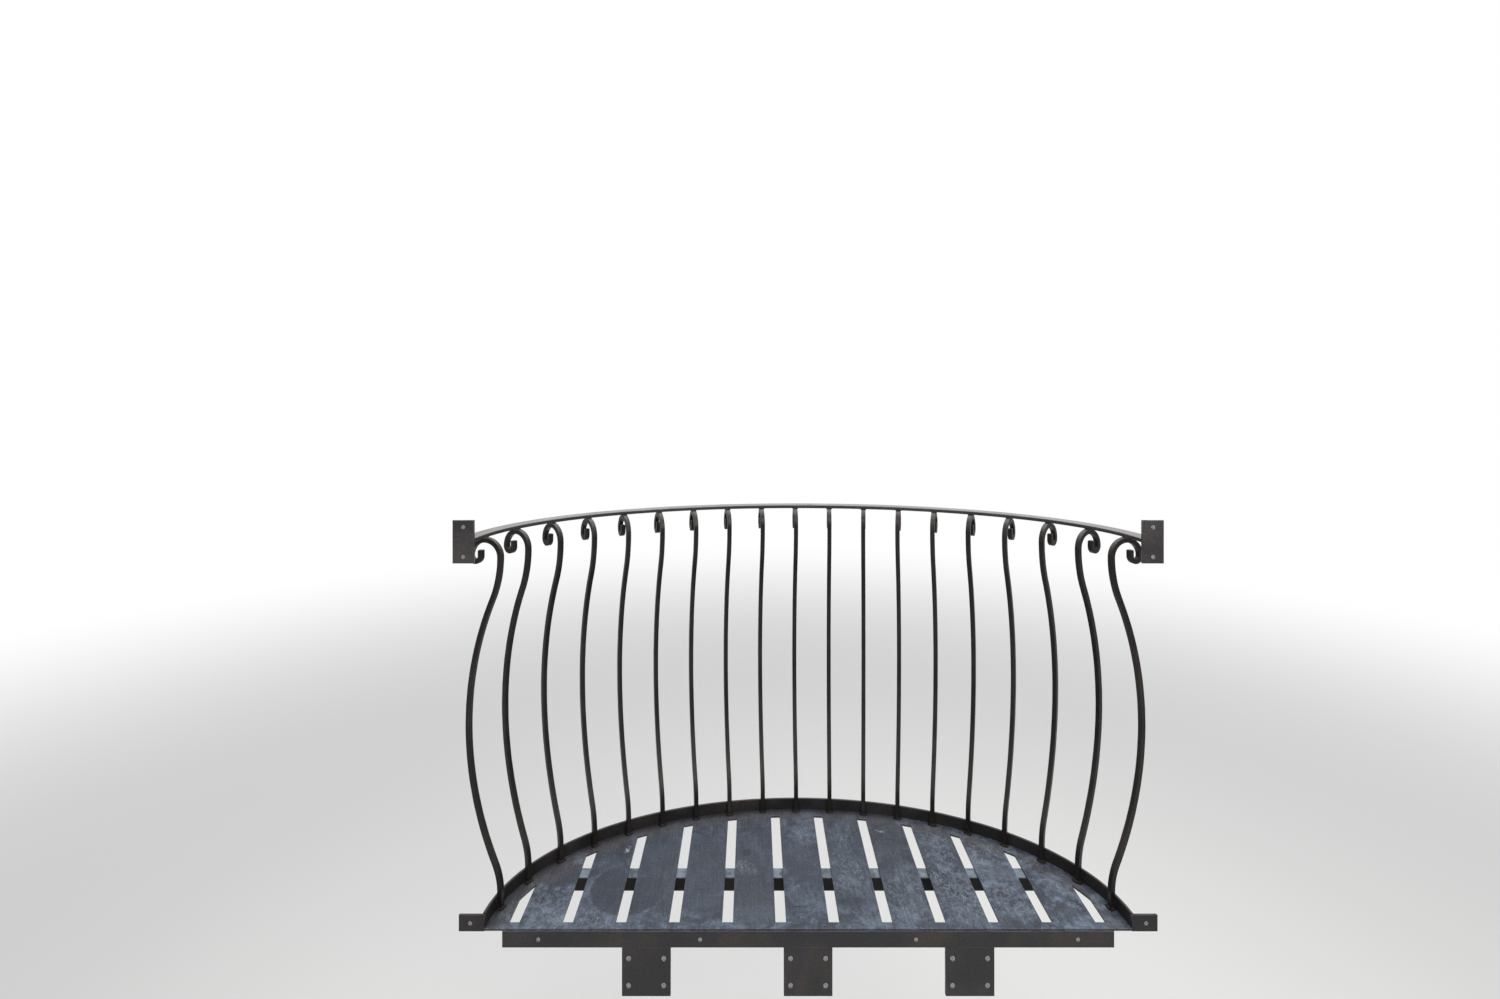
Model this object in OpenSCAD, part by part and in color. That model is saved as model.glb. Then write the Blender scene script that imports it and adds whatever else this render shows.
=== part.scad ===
// Juliet balcony: a slotted steel deck plate with an elliptical rim, bellied square balusters
// with outward crooks, and a bowed flat top rail. The wall face is the plane Y = 0, outward is +Y,
// and the origin lies in the middle of the ledger's back face.

/* [Deck plate] */
// Half of the deck's width at the wall, to the inner face of the rim band
deck_half_w = 762; // [700:1:860]
// Reach of the deck from the wall, to the inner face of the rim band
deck_reach = 472; // [430:1:540]
// Thickness of the deck plate
plate_t = 6.35; // [4:0.05:10]
// Gap between the plate's back edge and the wall
plate_wall_gap = 1.5; // [0.5:0.1:4]
// Width of each slot
slot_w = 25.4; // [16:0.1:32]
// Slots on each side of the middle, evenly spaced over the half width
slots_per_side = 6; // [4:1:7]
// Distance from the wall to the near end of the slots
slot_start = 21; // [16:0.5:40]
// Solid margin between the slots' far ends and the rim band
slot_margin = 32; // [24:0.5:52]

/* [Rim band] */
// Height of the rim band
rim_h = 38.1; // [28:0.1:48]
// Thickness of the rim band
rim_t = 6.35; // [4:0.05:9]
// Length of each wall lug beyond the rim band's inner face
lug_l = 60; // [50:1:80]
// Thickness of each wall lug
lug_t = 6.35; // [5:0.05:10]

/* [Balusters] */
// Side of the square bar
bar_size = 12.7; // [10:0.1:16]
// Balusters on each side of the middle one
bars_per_side = 9; // [6:1:10]
// Distance along the curve from the end baluster to the wall
end_bar_gap = 68; // [56:1:80]
// Clearance between a baluster foot and the rim band
foot_gap = 0.3; // [0.2:0.05:0.6]
// Straight length of the foot
foot_l = 40; // [36:1:80]
// Centreline radius of the bend above the foot
foot_bend_r = 160; // [60:1:220]
// Centreline radius of the bend below the arch
neck_bend_r = 265; // [60:1:320]
// How far the belly stands out from the foot
belly_out = 88; // [50:1:102]
// Centreline radius of the arch that carries the rail
arch_r = 40.5; // [36:0.5:50]
// Centreline radius of the crook's inner curl
curl_r = 13.5; // [11:0.5:18]
// Straight length at the tip of the curl
tip_l = 15; // [4:0.5:17]

/* [Top rail] */
// Height of the rail's top face above the deck
rail_top = 914.4; // [850:0.1:1070]
// Width of the rail
rail_w = 38.1; // [30:0.1:50]
// Thickness of the rail
rail_t = 9.525; // [6:0.025:13]
// Distance from the baluster centres out to the middle of the rail
rail_out = 56; // [44:0.5:58]
// Width of each rail flange
flange_w = 50.8; // [46:0.1:64]
// Height of each rail flange
flange_h = 101.6; // [84:0.1:130]
// Thickness of each rail flange
flange_t = 6.35; // [5:0.05:10]
// Distance between the two bolt holes of a rail flange
flange_hole_gap = 69.85; // [56:0.05:70]

/* [Bearer and ledger] */
// Side of the square tube of bearer and arms
tube_size = 38.1; // [30:0.1:45]
// Wall of the square tube
tube_wall = 3.2; // [2:0.1:5]
// Outer corner radius of the square tube
tube_corner = 4.8; // [3:0.1:8]
// Inner corner radius of the square tube
tube_bore_corner = 1.6; // [0.5:0.1:4]
// Distance from the wall to the bearer's back face
bearer_y = 184; // [150:1:220]
// Distance from the bearer's ends to the rim band's line
bearer_inset = 12; // [6:0.5:30]
// Height of the ledger
ledger_h = 38.1; // [30:0.1:45]
// Thickness of the ledger
ledger_t = 9.525; // [6:0.025:13]
// Half of the ledger's length
ledger_half_l = 720; // [640:1:740]
// Distance between the two inner bolt holes of the ledger
ledger_inner_gap = 508; // [420:1:560]
// Distance between the two outer bolt holes of the ledger
ledger_outer_gap = 1270; // [1100:1:1300]

/* [Arms] */
// Solid strips of the deck from one arm to the next
strips_per_arm = 3; // [3:1:4]
// Length of each arm past the bearer
arm_past = 14; // [8:0.5:40]
// Thickness of the end caps
cap_t = 3.2; // [2:0.1:5]
// Width of each arm's wall plate
arm_plate_w = 114.3; // [104:0.1:130]
// Height of each arm's wall plate
arm_plate_h = 114.3; // [104:0.1:140]
// Thickness of each arm's wall plate
arm_plate_t = 9.525; // [6:0.025:13]
// Sideways distance between the bolt holes of an arm's wall plate
arm_hole_gap_x = 82.55; // [76:0.05:84]
// Upright distance between the bolt holes of an arm's wall plate
arm_hole_gap_z = 63.5; // [55:0.05:66]

/* [Holes] */
// Diameter of the bolt holes in flanges, lugs and ledger
small_hole = 11; // [8:0.1:13]
// Diameter of the bolt holes in the arms' wall plates
large_hole = 14; // [10:0.1:16]

/* [Hidden] */
// Distance between slot centres
slot_pitch = deck_half_w / slots_per_side;
plate_bottom_z = ledger_h / 2;
deck_z = plate_bottom_z + plate_t;
rail_bottom_z = deck_z + rail_top - rail_t;
rail_mid_z = rail_bottom_z + rail_t / 2;
rim_bottom_z = plate_bottom_z;
// Depth of the baluster centres inside the rim band's inner face
bar_inset = foot_gap + bar_size / 2;
rail_half_x = deck_half_w - bar_inset + rail_out;
bearer_front = bearer_y + tube_size;
arm_top_z = plate_bottom_z - tube_size;
arm_mid_z = arm_top_z - tube_size / 2;
arm_end_y = bearer_front + arm_past;
arm_spacing = strips_per_arm * slot_pitch;
arm_plate_mid_z = arm_top_z - arm_plate_h / 2;
lug_mid_x = deck_half_w + (rim_t + lug_l) / 2;
lug_mid_z = rim_bottom_z + rim_h / 2;
// Amount by which a cut runs past the face that it opens
cut_over = 1;
// Roundness of bolt holes and of the tube's corners
hole_fn = 48;
corner_fn = 24;
// Half of the plan curve from the middle to the wall, in steps
plan_steps = 60;
sweep = 90;
half_turn = 180;
dark_iron = [0.16, 0.14, 0.15];
deck_grey = [0.40, 0.43, 0.47];

// Plan curve of the rim: a half ellipse on the wall, angle 0 at +X and 180 at -X
function rim_point(a) = [deck_half_w * cos(a), deck_reach * sin(a)];
function rim_normal(a) =
    let (n = [deck_reach * cos(a), deck_half_w * sin(a)])
    n / norm(n);
function plan_point(a, out) = rim_point(a) + out * rim_normal(a);
function plan_angles() = [for (i = [0:2 * plan_steps]) i * sweep / plan_steps];
function plan_curve(out) = [for (a = plan_angles()) plan_point(a, out)];
function reversed(list) = [for (i = [len(list) - 1:-1:0]) list[i]];

// Length of the baluster line from the middle to each step, paired with its angle
function chord(i) =
    let (a = sweep + (i - 1) * sweep / plan_steps)
    norm(plan_point(a + sweep / plan_steps, -bar_inset) - plan_point(a, -bar_inset));
function run_to(i) = i == 0 ? 0 : run_to(i - 1) + chord(i);
run_table = [for (i = [0:plan_steps]) [run_to(i), i * sweep / plan_steps]];
quarter_run = run_table[plan_steps][0];
bar_pitch = (quarter_run - end_bar_gap) / bars_per_side;
function bar_angle(k) =
    sweep - sign(k) * lookup(abs(k) * bar_pitch, run_table);

// A bar bent in one plane: each stretch is [length, turn], where the turn is clockwise in degrees
neck_h = rail_top - rail_t - bar_size / 2 - arch_r;
belly_h = neck_h - foot_l;
// The belly's widest point lies lower than midway by half of this, as the neck's bend is wider
belly_drop = 2 * belly_out * (neck_bend_r - foot_bend_r) / belly_h;
foot_rise = (belly_h - belly_drop) / 2;
neck_rise = (belly_h + belly_drop) / 2;
foot_turn = 2 * atan(belly_out / foot_rise);
neck_turn = 2 * atan(belly_out / neck_rise);
belly_r = foot_rise / sin(foot_turn) - foot_bend_r;
function arc_length(r, turn) = r * abs(turn) * PI / half_turn;
function arc_steps(r, turn, n) = [for (i = [1:n]) [arc_length(r, turn) / n, turn / n]];
bar_stretches = concat(
    [[foot_l, 0]],
    arc_steps(foot_bend_r, foot_turn, 9),
    arc_steps(belly_r, -foot_turn - neck_turn, 22),
    arc_steps(neck_bend_r, neck_turn, 11),
    arc_steps(arch_r, half_turn, 24),
    arc_steps(curl_r, half_turn, 14),
    [[tip_l, 0]]
);
// Length of the chord of one step
function step_chord(s) =
    s[1] == 0 ? s[0] : 2 * (s[0] * half_turn / (PI * abs(s[1]))) * sin(abs(s[1]) / 2);
function heading(i) = i == 0 ? 0 : heading(i - 1) + bar_stretches[i - 1][1];
function centre(i) =
    i == 0 ? [0, 0] :
    let (a = heading(i - 1) + bar_stretches[i - 1][1] / 2)
    centre(i - 1) + step_chord(bar_stretches[i - 1]) * [sin(a), cos(a)];
function side_point(i, off) = centre(i) + off * [cos(heading(i)), -sin(heading(i))];
function bar_side(off) = [for (i = [0:len(bar_stretches)]) side_point(i, off)];
bar_outline = concat(bar_side(bar_size / 2), reversed(bar_side(-bar_size / 2)));

function two_digits(n) = n < 10 ? str("0", n) : str(n);
bar_count = 2 * bars_per_side + 1;
bar_names = [for (i = [1:bar_count]) str("baluster_", two_digits(i))];
arm_names = ["left", "middle", "right"];

// Bolt hole through a flat piece on the wall
module wall_hole(x, z, d, t) {
    translate([x, -cut_over, z])
        rotate([-90, 0, 0])
            cylinder(d = d, h = t + 2 * cut_over, $fn = hole_fn);
}

// Flat bar that follows the plan curve between two offsets, cut off at a distance from the wall
module curved_bar(inner, outer, z, h, from_wall) {
    reach = deck_reach + outer;
    half_w = deck_half_w + outer;
    difference() {
        translate([0, 0, z])
            linear_extrude(height = h)
                polygon(concat(plan_curve(outer), reversed(plan_curve(inner))));
        translate([-half_w - cut_over, -reach, z - cut_over])
            cube([2 * (half_w + cut_over), reach + from_wall, h + 2 * cut_over]);
    }
}

module slot_strips() {
    for (k = [1:slots_per_side])
        for (side = [-1, 1])
            translate([side * (k - 1 / 2) * slot_pitch - slot_w / 2, slot_start])
                square([slot_w, deck_reach]);
}

// Deck plate with its slots, whose far ends follow the rim
module deck_plate() {
    color(deck_grey)
        translate([0, 0, plate_bottom_z])
            linear_extrude(height = plate_t)
                difference() {
                    intersection() {
                        polygon(plan_curve(0));
                        translate([-deck_half_w, plate_wall_gap])
                            square([2 * deck_half_w, deck_reach]);
                    }
                    intersection() {
                        slot_strips();
                        polygon(plan_curve(-slot_margin));
                    }
                }
}

module rim_band() {
    color(dark_iron)
        curved_bar(0, rim_t, rim_bottom_z, rim_h, lug_t);
}

// Lug that stands out sideways from the rim band's end and is bolted to the wall
module rim_lug(side) {
    color(dark_iron)
        difference() {
            translate([side * (deck_half_w + lug_l / 2) - lug_l / 2, 0, rim_bottom_z])
                cube([lug_l, lug_t, rim_h]);
            wall_hole(side * lug_mid_x, lug_mid_z, small_hole, lug_t);
        }
}

module top_rail() {
    color(dark_iron)
        curved_bar(rail_out - bar_inset - rail_w / 2, rail_out - bar_inset + rail_w / 2,
                   rail_bottom_z, rail_t, flange_t);
}

// Flange that the end of the rail is welded to, with a bolt hole above and below the rail
module rail_flange(side) {
    color(dark_iron)
        difference() {
            translate([side * rail_half_x - flange_w / 2, 0, rail_mid_z - flange_h / 2])
                cube([flange_w, flange_t, flange_h]);
            for (up = [-1, 1])
                wall_hole(side * rail_half_x, rail_mid_z + up * flange_hole_gap / 2,
                          small_hole, flange_t);
        }
}

// Baluster number k from the middle, standing on the deck with its crook under the rail
module baluster(k) {
    a = bar_angle(k);
    foot = plan_point(a, -bar_inset);
    n = rim_normal(a);
    color(dark_iron)
        translate([foot[0], foot[1], deck_z])
            rotate([0, 0, atan2(n[1], n[0])])
                rotate([90, 0, 0])
                    translate([0, 0, -bar_size / 2])
                        linear_extrude(height = bar_size)
                            polygon(bar_outline);
}

// Square with rounded corners, centred on the origin
module rounded_square(size, r) {
    inner = size - 2 * r;
    square([size, inner], center = true);
    square([inner, size], center = true);
    for (x = [-1, 1])
        for (y = [-1, 1])
            translate([x * inner / 2, y * inner / 2])
                circle(r = r, $fn = corner_fn);
}

// Square tube along +X from the origin, centred on its axis
module square_tube(l) {
    rotate([0, 90, 0])
        linear_extrude(height = l)
            difference() {
                rounded_square(tube_size, tube_corner);
                rounded_square(tube_size - 2 * tube_wall, tube_bore_corner);
            }
}

// End cap along +X from the origin, as wide as the tube that it closes
module tube_cap() {
    rotate([0, 90, 0])
        linear_extrude(height = cap_t)
            rounded_square(tube_size, tube_corner);
}

// Half of the bearer's length, kept inside the rim's line at its front face
bearer_half_l = deck_half_w * sqrt(1 - pow(bearer_front / deck_reach, 2)) - bearer_inset;
bearer_mid = [bearer_y + tube_size / 2, plate_bottom_z - tube_size / 2];

module cross_bearer() {
    tube_half_l = bearer_half_l - cap_t;
    color(deck_grey)
        translate([-tube_half_l, bearer_mid[0], bearer_mid[1]])
            square_tube(2 * tube_half_l);
}

module bearer_cap(side) {
    color(deck_grey)
        translate([side * (bearer_half_l - cap_t / 2) - cap_t / 2, bearer_mid[0], bearer_mid[1]])
            tube_cap();
}

// Flat bar on edge under the plate, bolted to the wall
module wall_ledger() {
    color(dark_iron)
        difference() {
            translate([-ledger_half_l, 0, -ledger_h / 2])
                cube([2 * ledger_half_l, ledger_t, ledger_h]);
            for (gap = [ledger_inner_gap, ledger_outer_gap])
                for (side = [-1, 1])
                    wall_hole(side * gap / 2, 0, small_hole, ledger_t);
        }
}

// Arm from its wall plate out under the bearer
module arm(side) {
    color(dark_iron)
        translate([side * arm_spacing, arm_plate_t, arm_mid_z])
            rotate([0, 0, 90])
                square_tube(arm_end_y - cap_t - arm_plate_t);
}

module arm_cap(side) {
    color(dark_iron)
        translate([side * arm_spacing, arm_end_y - cap_t, arm_mid_z])
            rotate([0, 0, 90])
                tube_cap();
}

module arm_plate(side) {
    mid_x = side * arm_spacing;
    color(dark_iron)
        difference() {
            translate([mid_x - arm_plate_w / 2, 0, arm_plate_mid_z - arm_plate_h / 2])
                cube([arm_plate_w, arm_plate_t, arm_plate_h]);
            for (across = [-1, 1])
                for (up = [-1, 1])
                    wall_hole(mid_x + across * arm_hole_gap_x / 2,
                              arm_plate_mid_z + up * arm_hole_gap_z / 2,
                              large_hole, arm_plate_t);
        }
}

deck_plate();
rim_band();
rim_lug(-1);  // rim_lug_left
rim_lug(1);  // rim_lug_right
top_rail();
rail_flange(-1);  // rail_flange_left
rail_flange(1);  // rail_flange_right
cross_bearer();
bearer_cap(-1);  // bearer_cap_left
bearer_cap(1);  // bearer_cap_right
wall_ledger();
for (i = [0:2])
    arm(i - 1);
for (i = [0:2])
    arm_plate(i - 1);
for (i = [0:2])
    arm_cap(i - 1);
for (i = [0:bar_count - 1])
    baluster(i - bars_per_side);
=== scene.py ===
"""Looks of a juliet balcony: bellied square balusters between a slotted deck and a bowed rail.

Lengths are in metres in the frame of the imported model: the wall face is the plane Y = 0, outward
is +Y, and +Z is up. Sizes that the frame can't give repeat the driving sizes of the part's source.
"""
import functools
import itertools
import math
import random

import bmesh
import bpy
from mathutils import Matrix, Vector, noise


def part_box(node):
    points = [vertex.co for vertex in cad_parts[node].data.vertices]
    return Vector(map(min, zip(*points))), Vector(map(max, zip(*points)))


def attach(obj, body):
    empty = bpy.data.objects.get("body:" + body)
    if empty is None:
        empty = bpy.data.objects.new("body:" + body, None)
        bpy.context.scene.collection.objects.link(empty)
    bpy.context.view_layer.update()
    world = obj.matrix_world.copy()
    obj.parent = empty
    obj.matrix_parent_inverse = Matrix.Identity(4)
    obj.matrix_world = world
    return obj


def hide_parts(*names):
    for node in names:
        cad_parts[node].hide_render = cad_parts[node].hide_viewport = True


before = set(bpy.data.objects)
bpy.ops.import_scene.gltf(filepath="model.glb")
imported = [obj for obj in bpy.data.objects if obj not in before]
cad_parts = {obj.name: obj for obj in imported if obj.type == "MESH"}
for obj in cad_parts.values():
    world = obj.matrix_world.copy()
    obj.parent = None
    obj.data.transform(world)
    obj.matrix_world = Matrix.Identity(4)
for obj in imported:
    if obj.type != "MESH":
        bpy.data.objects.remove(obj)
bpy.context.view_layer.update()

# Driving sizes of the part
DECK_HALF_W = 0.762
DECK_REACH = 0.472
PLATE_WALL_GAP = 0.0015
SLOT_W = 0.0254
SLOTS_PER_SIDE = 6
SLOT_PITCH = DECK_HALF_W / SLOTS_PER_SIDE
SLOT_START = 0.021
SLOT_MARGIN = 0.032
FOOT_GAP = 0.0003
BARS_PER_SIDE = 9
END_BAR_GAP = 0.068
FOOT_L = 0.040
FOOT_BEND_R = 0.160
NECK_BEND_R = 0.265
BELLY_OUT = 0.088
ARCH_R = 0.0405
CURL_R = 0.0135
TIP_L = 0.015
RAIL_OUT = 0.056
TUBE_CORNER = 0.0048
SMALL_HOLE = 0.011
LARGE_HOLE = 0.014
RAIL_HOLE_GAP = 0.06985
LEDGER_HOLE_GAPS = (0.508, 1.270)
ARM_HOLE_GAPS = (0.08255, 0.0635)

# Bolts: shank diameter and width across the flats
SMALL_BOLT = (0.0096, 0.016)
LARGE_BOLT = (0.012, 0.019)

# How far the edges of the pieces are rounded
BAR_ARRIS = 0.0012
RIM_ARRIS = 0.0010
RAIL_ARRIS = 0.0016
DECK_ARRIS = 0.0006
CAP_ARRIS = 0.0006
WALL_ARRIS = 0.0009

# Unevenness of forged and rolled steel: its depth and its fineness
BAR_UNEVEN = (0.00022, 38.0)
RIM_UNEVEN = (0.00018, 30.0)
RAIL_UNEVEN = (0.00020, 30.0)
TUBE_UNEVEN = (0.00015, 20.0)

# Sizes read from the frame
ENDS = ((-1, "left"), (1, "right"))
ARMS = ("left", "middle", "right")
BARS = [f"baluster_{i:02d}" for i in range(1, 2 * BARS_PER_SIDE + 2)]
deck_low, deck_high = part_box("deck_plate")
rim_low, rim_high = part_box("rim_band")
rail_low, rail_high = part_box("top_rail")
bearer_low, bearer_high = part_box("cross_bearer")
bar_low, bar_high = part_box(BARS[BARS_PER_SIDE])
lug_low, lug_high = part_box("rim_lug_right")
DECK_Z = deck_high.z
PLATE_T = deck_high.z - deck_low.z
BAR_SIZE = bar_high.x - bar_low.x
BAR_INSET = FOOT_GAP + BAR_SIZE / 2
RIM_T = rim_high.y - DECK_REACH
RAIL_MID_OUT = RAIL_OUT - BAR_INSET
RAIL_W = 2 * (rail_high.y - DECK_REACH - RAIL_MID_OUT)
NECK_H = bar_high.z - BAR_SIZE / 2 - ARCH_R - DECK_Z
LUG_HOLE_X = (lug_low.x + RIM_T + lug_high.x) / 2

SEED = 7
SIDE_WELD_SEED = SEED + 40
HEAD_WELD_SEED = SEED + 90
FRAME_WELD_SEED = SEED + 201
BOLT_SEED = SEED + 500
FULL_TURN = 2 * math.pi
QUARTER = math.pi / 2
UP = Vector((0, 0, 1))

# How finely shapes are divided
QUARTER_STEPS = 60
SWEEP_STEPS = 360
DECK_STEPS = 240
SLOT_END_STEPS = 8
CIRCLE_STEPS = 40
TUBE_STEP = 0.02
CAP_STEPS = 4
BEAD_STEP = 0.0012
BEAD_SIDES = 10
BOLT_SIDES = 36


# Curves

def rim_point(a):
    return Vector((DECK_HALF_W * math.cos(a), DECK_REACH * math.sin(a), 0))


def rim_normal(a):
    return Vector((DECK_REACH * math.cos(a), DECK_HALF_W * math.sin(a), 0)).normalized()


def plan_point(a, out):
    """A point at a distance outside the rim's ellipse, or inside it when negative."""
    return rim_point(a) + out * rim_normal(a)


def bar_angles():
    """Angles of the balusters on the plan curve, an equal distance apart along it."""
    step = QUARTER / QUARTER_STEPS
    points = [plan_point(QUARTER + i * step, -BAR_INSET) for i in range(QUARTER_STEPS + 1)]
    runs = [0.0]
    for p, q in zip(points, points[1:]):
        runs.append(runs[-1] + (q - p).length)
    pitch = (runs[-1] - END_BAR_GAP) / BARS_PER_SIDE
    angles = []
    for k in range(-BARS_PER_SIDE, BARS_PER_SIDE + 1):
        run = abs(k) * pitch
        i = max(j for j in range(QUARTER_STEPS) if runs[j] <= run)
        part = (run - runs[i]) / (runs[i + 1] - runs[i])
        turn = (i + part) * step
        angles.append(QUARTER - math.copysign(turn, k) if k else QUARTER)
    return angles


def bar_path():
    """The bent bar's centreline as (out, up, heading), where heading 0 is straight up."""
    belly_h = NECK_H - FOOT_L
    drop = 2 * BELLY_OUT * (NECK_BEND_R - FOOT_BEND_R) / belly_h
    foot_rise, neck_rise = (belly_h - drop) / 2, (belly_h + drop) / 2
    foot_turn = 2 * math.atan(BELLY_OUT / foot_rise)
    neck_turn = 2 * math.atan(BELLY_OUT / neck_rise)
    belly_r = foot_rise / math.sin(foot_turn) - FOOT_BEND_R
    belly_turn = foot_turn + neck_turn
    # Length, bend and number of steps, from the foot by way of belly, neck and arch to the tip
    stretches = (
        (FOOT_L, 0, 9),
        (FOOT_BEND_R * foot_turn, foot_turn, 14),
        (belly_r * belly_turn, -belly_turn, 72),
        (NECK_BEND_R * neck_turn, neck_turn, 20),
        (ARCH_R * math.pi, math.pi, 44),
        (CURL_R * math.pi, math.pi, 30),
        (TIP_L, 0, 3),
    )
    out, up, heading = 0.0, 0.0, 0.0
    path = [(out, up, heading)]
    for length, bend, steps in stretches:
        step, part = length / steps, bend / steps
        chord = step if bend == 0 else 2 * step / abs(part) * math.sin(abs(part) / 2)
        for _ in range(steps):
            out += chord * math.sin(heading + part / 2)
            up += chord * math.cos(heading + part / 2)
            heading += part
            path.append((out, up, heading))
    return path


def line(p, q):
    """Points from p to q, close enough together for a bead's ripples."""
    n = max(3, int((q - p).length / BEAD_STEP))
    return [p + (q - p) * i / n for i in range(n + 1)]


def circle(x, y, r, turn):
    angles = [turn + FULL_TURN * i / CIRCLE_STEPS for i in range(CIRCLE_STEPS)]
    return [(x + r * math.cos(a), y + r * math.sin(a)) for a in angles]


def rectangle(x0, y0, x1, y1):
    return [(x0, y0), (x1, y0), (x1, y1), (x0, y1)]


def rounded_section(w, h, r, arc_steps=3, edge_steps=2):
    """Points round a rectangle of width w and height h with corners of radius r."""
    points = []
    corners = ((1, 1, 0), (-1, 1, QUARTER), (-1, -1, 2 * QUARTER), (1, -1, 3 * QUARTER))
    for sx, sy, start in corners:
        for i in range(arc_steps + 1):
            a = start + QUARTER * i / arc_steps
            points.append((sx * (w / 2 - r) + r * math.cos(a), sy * (h / 2 - r) + r * math.sin(a)))
    dense = []
    for i, p in enumerate(points):
        q = points[(i + 1) % len(points)]
        dense.append(p)
        if (i + 1) % (arc_steps + 1) == 0:
            for j in range(1, edge_steps + 1):
                t = j / (edge_steps + 1)
                dense.append((p[0] + t * (q[0] - p[0]), p[1] + t * (q[1] - p[1])))
    return dense


# Meshes

def mesh_object(name, mesh, weld=0.0):
    """An object with a mesh whose faces are turned outward and shaded smoothly.

    Points that lie closer together than weld are merged.
    """
    made = bmesh.new()
    made.from_mesh(mesh)
    if weld:
        bmesh.ops.remove_doubles(made, verts=made.verts, dist=weld)
    bmesh.ops.recalc_face_normals(made, faces=made.faces)
    made.to_mesh(mesh)
    made.free()
    for p in mesh.polygons:
        p.use_smooth = True
    obj = bpy.data.objects.new(name, mesh)
    bpy.context.scene.collection.objects.link(obj)
    return obj


def faces_object(name, verts, faces):
    mesh = bpy.data.meshes.new(name)
    mesh.from_pydata([tuple(v) for v in verts], [], faces)
    return mesh_object(name, mesh)


def weighted_normals(obj):
    mod = obj.modifiers.new("normals", "WEIGHTED_NORMAL")
    mod.weight = 60


class Builder:
    """Collects closed shapes, each made of rings of points, as one joined mesh."""

    def __init__(self):
        self.verts = []
        self.faces = []

    def rings(self, rings):
        base, n = len(self.verts), len(rings[0])
        for ring in rings:
            self.verts.extend(ring)
        for i in range(len(rings) - 1):
            low, high = base + i * n, base + (i + 1) * n
            for j in range(n):
                k = (j + 1) % n
                self.faces.append((low + j, low + k, high + k, high + j))
        for start in (base, base + (len(rings) - 1) * n):
            self.faces.append(tuple(start + j for j in range(n)))

    def object(self, name):
        return faces_object(name, self.verts, self.faces)


def eased_ends(stations, ease):
    """Stations whose section is drawn in step by step at both ends, which rounds the cut off.

    A station is (point, u, v, shrink): where the section lies, its two directions, and how far its
    sides are drawn in.
    """
    def rounding(end, along):
        p, u, v, _ = end
        return [(p, u, v, ease), (p + 0.3 * ease * along, u, v, 0.4 * ease),
                (p + ease * along, u, v, 0.0)]

    first, last = stations[0], stations[-1]
    start = rounding(first, (stations[1][0] - first[0]).normalized())
    stop = rounding(last, (stations[-2][0] - last[0]).normalized())
    clear = 1.5 * ease
    inner = [s for s in stations[1:-1]
             if (s[0] - first[0]).length > clear and (s[0] - last[0]).length > clear]
    return start + inner + stop[::-1]


def sweep_rings(stations, section, size, uneven, seed):
    """Rings of a section carried along stations, with its surface slightly uneven."""
    depth, fineness = uneven
    shift = Vector((seed * 3.1, seed * 1.7, seed * 2.3))
    rings = []
    for p, u, v, shrink in stations:
        k = 1 - 2 * shrink / size
        ring = []
        for a, b in section:
            point = p + k * (a * u + b * v)
            if depth:
                away = (a * u + b * v).normalized()
                point = point + away * depth * (noise.noise(point * fineness + shift) - 1)
            ring.append(point)
        rings.append(ring)
    return rings


def swept(name, stations, section, size, uneven=(0, 0), seed=0):
    """A piece whose section, of the given least size, is carried along stations."""
    body = Builder()
    body.rings(sweep_rings(stations, section, size, uneven, seed))
    obj = body.object(name)
    weighted_normals(obj)
    return obj


def outlined_plate(name, outlines, thickness, arris):
    """A plate with eased edges in the XY plane, centred on z = 0, from an outline and its holes."""
    curve = bpy.data.curves.new(name, "CURVE")
    curve.dimensions = "2D"
    curve.fill_mode = "BOTH"
    curve.extrude = thickness / 2 - arris
    curve.bevel_depth = arris
    curve.bevel_resolution = 1
    curve.offset = -arris
    for outline in outlines:
        spline = curve.splines.new("POLY")
        spline.points.add(len(outline) - 1)
        for point, (x, y) in zip(spline.points, outline):
            point.co = (x, y, 0, 1)
        spline.use_cyclic_u = True
    holder = bpy.data.objects.new(name + "_curve", curve)
    bpy.context.scene.collection.objects.link(holder)
    bpy.context.view_layer.update()
    mesh = bpy.data.meshes.new_from_object(holder)
    bpy.data.objects.remove(holder)
    mesh.name = name
    obj = mesh_object(name, mesh, weld=1e-6)
    weighted_normals(obj)
    return obj


def stand_on_wall(obj, y):
    """Turns a plate made in the XY plane upright, so that its thickness is centred on y."""
    turn = Matrix(((1, 0, 0, 0), (0, 0, 1, y), (0, 1, 0, 0), (0, 0, 0, 1)))
    obj.data.transform(turn)
    obj.data.flip_normals()


# Colours

def tone(r, g, b):
    return (r, g, b, 1)


CHIP_BROWN = tone(0.085, 0.05, 0.032)
FOOT_STAIN = tone(0.030, 0.0245, 0.0215)
DECK_DARK = tone(0.0345, 0.0405, 0.057)
DECK_MID = tone(0.052, 0.0625, 0.0875)
DECK_BLUE = tone(0.073, 0.091, 0.129)
DECK_CHALK = tone(0.167, 0.206, 0.267)
DECK_DIRT = tone(0.037, 0.035, 0.036)
DECK_DUST = tone(0.128, 0.117, 0.112)
# Painted shade for the deck plate's upright cut faces
SLOT_SIDE_SHADE = tone(0.028, 0.027, 0.030)
WORN_ARRIS = tone(0.24, 0.26, 0.29)
PALE_SPECK = tone(0.32, 0.35, 0.39)
DARK_PIT = tone(0.030, 0.030, 0.034)
ZINC_DULL = tone(0.20, 0.205, 0.21)
ZINC_PALE = tone(0.36, 0.365, 0.37)
ZINC_RUST = tone(0.16, 0.075, 0.035)
WHITE = tone(1, 1, 1)
FLOOR_PALE = tone(0.90, 0.895, 0.88)
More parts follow.
